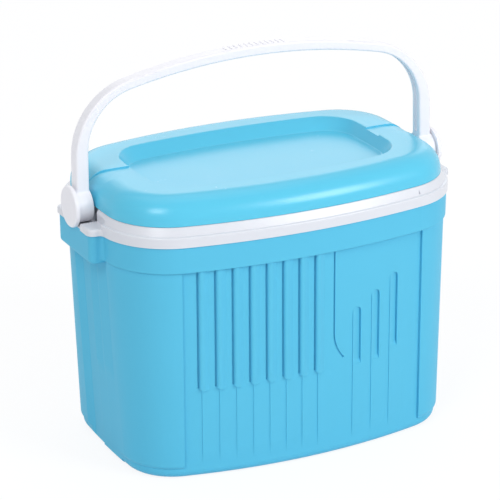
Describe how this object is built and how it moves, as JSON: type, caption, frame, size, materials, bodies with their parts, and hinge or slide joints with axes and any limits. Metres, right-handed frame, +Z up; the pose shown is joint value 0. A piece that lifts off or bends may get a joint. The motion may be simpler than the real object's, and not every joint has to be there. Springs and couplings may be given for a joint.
{
  "type": "cool box",
  "caption": "Insulated hard-sided cool box: foam-filled tub with a white rim, a lift-off foam-filled lid with a top tray, and a carrying bail that swings over it.",
  "frame": {"origin": "centre of the underside, in the plane the box stands on", "axes": "+X along the box's length, from pivot to pivot; -Y towards the front long side with the ribs on its left; +Z up"},
  "size_m": [0.4772, 0.2958, 0.4726],
  "materials": {
    "blue_body": "satin",
    "blue_lid": "satin",
    "white_rim": "satin",
    "white_handle": "satin",
    "white_liner": "satin",
    "foam": "matte",
    "seal": "matte",
    "pin": "satin"
  },
  "bodies": {
    "tub": {"body_shell": "blue_body", "body_insulation": "foam", "inner_liner": "white_liner", "rim_ring": "white_rim", "base_plug": "blue_body", "pivot_pin_left": "pin", "pivot_pin_right": "pin", "pivot_washer_left": "pin", "pivot_washer_right": "pin"},
    "lid": {"lid_shell": "blue_lid", "lid_insulation": "foam", "lid_liner": "white_liner", "lid_seal": "seal", "lid_plug": "white_liner"},
    "handle": {"handle_bail": "white_handle", "hub_cap_left": "white_handle", "hub_cap_right": "white_handle"}
  },
  "joints": [
    {"name": "handle_swing", "type": "hinge", "parent": "tub", "child": "handle", "pos_m": [0, 0, 0.311], "axis": [1, 0, 0], "range_deg": [-88, 88]},
    {"name": "lid_lift", "type": "slide", "parent": "tub", "child": "lid", "axis": [0, 0, 1], "range_m": [0, 0.06]}
  ]
}
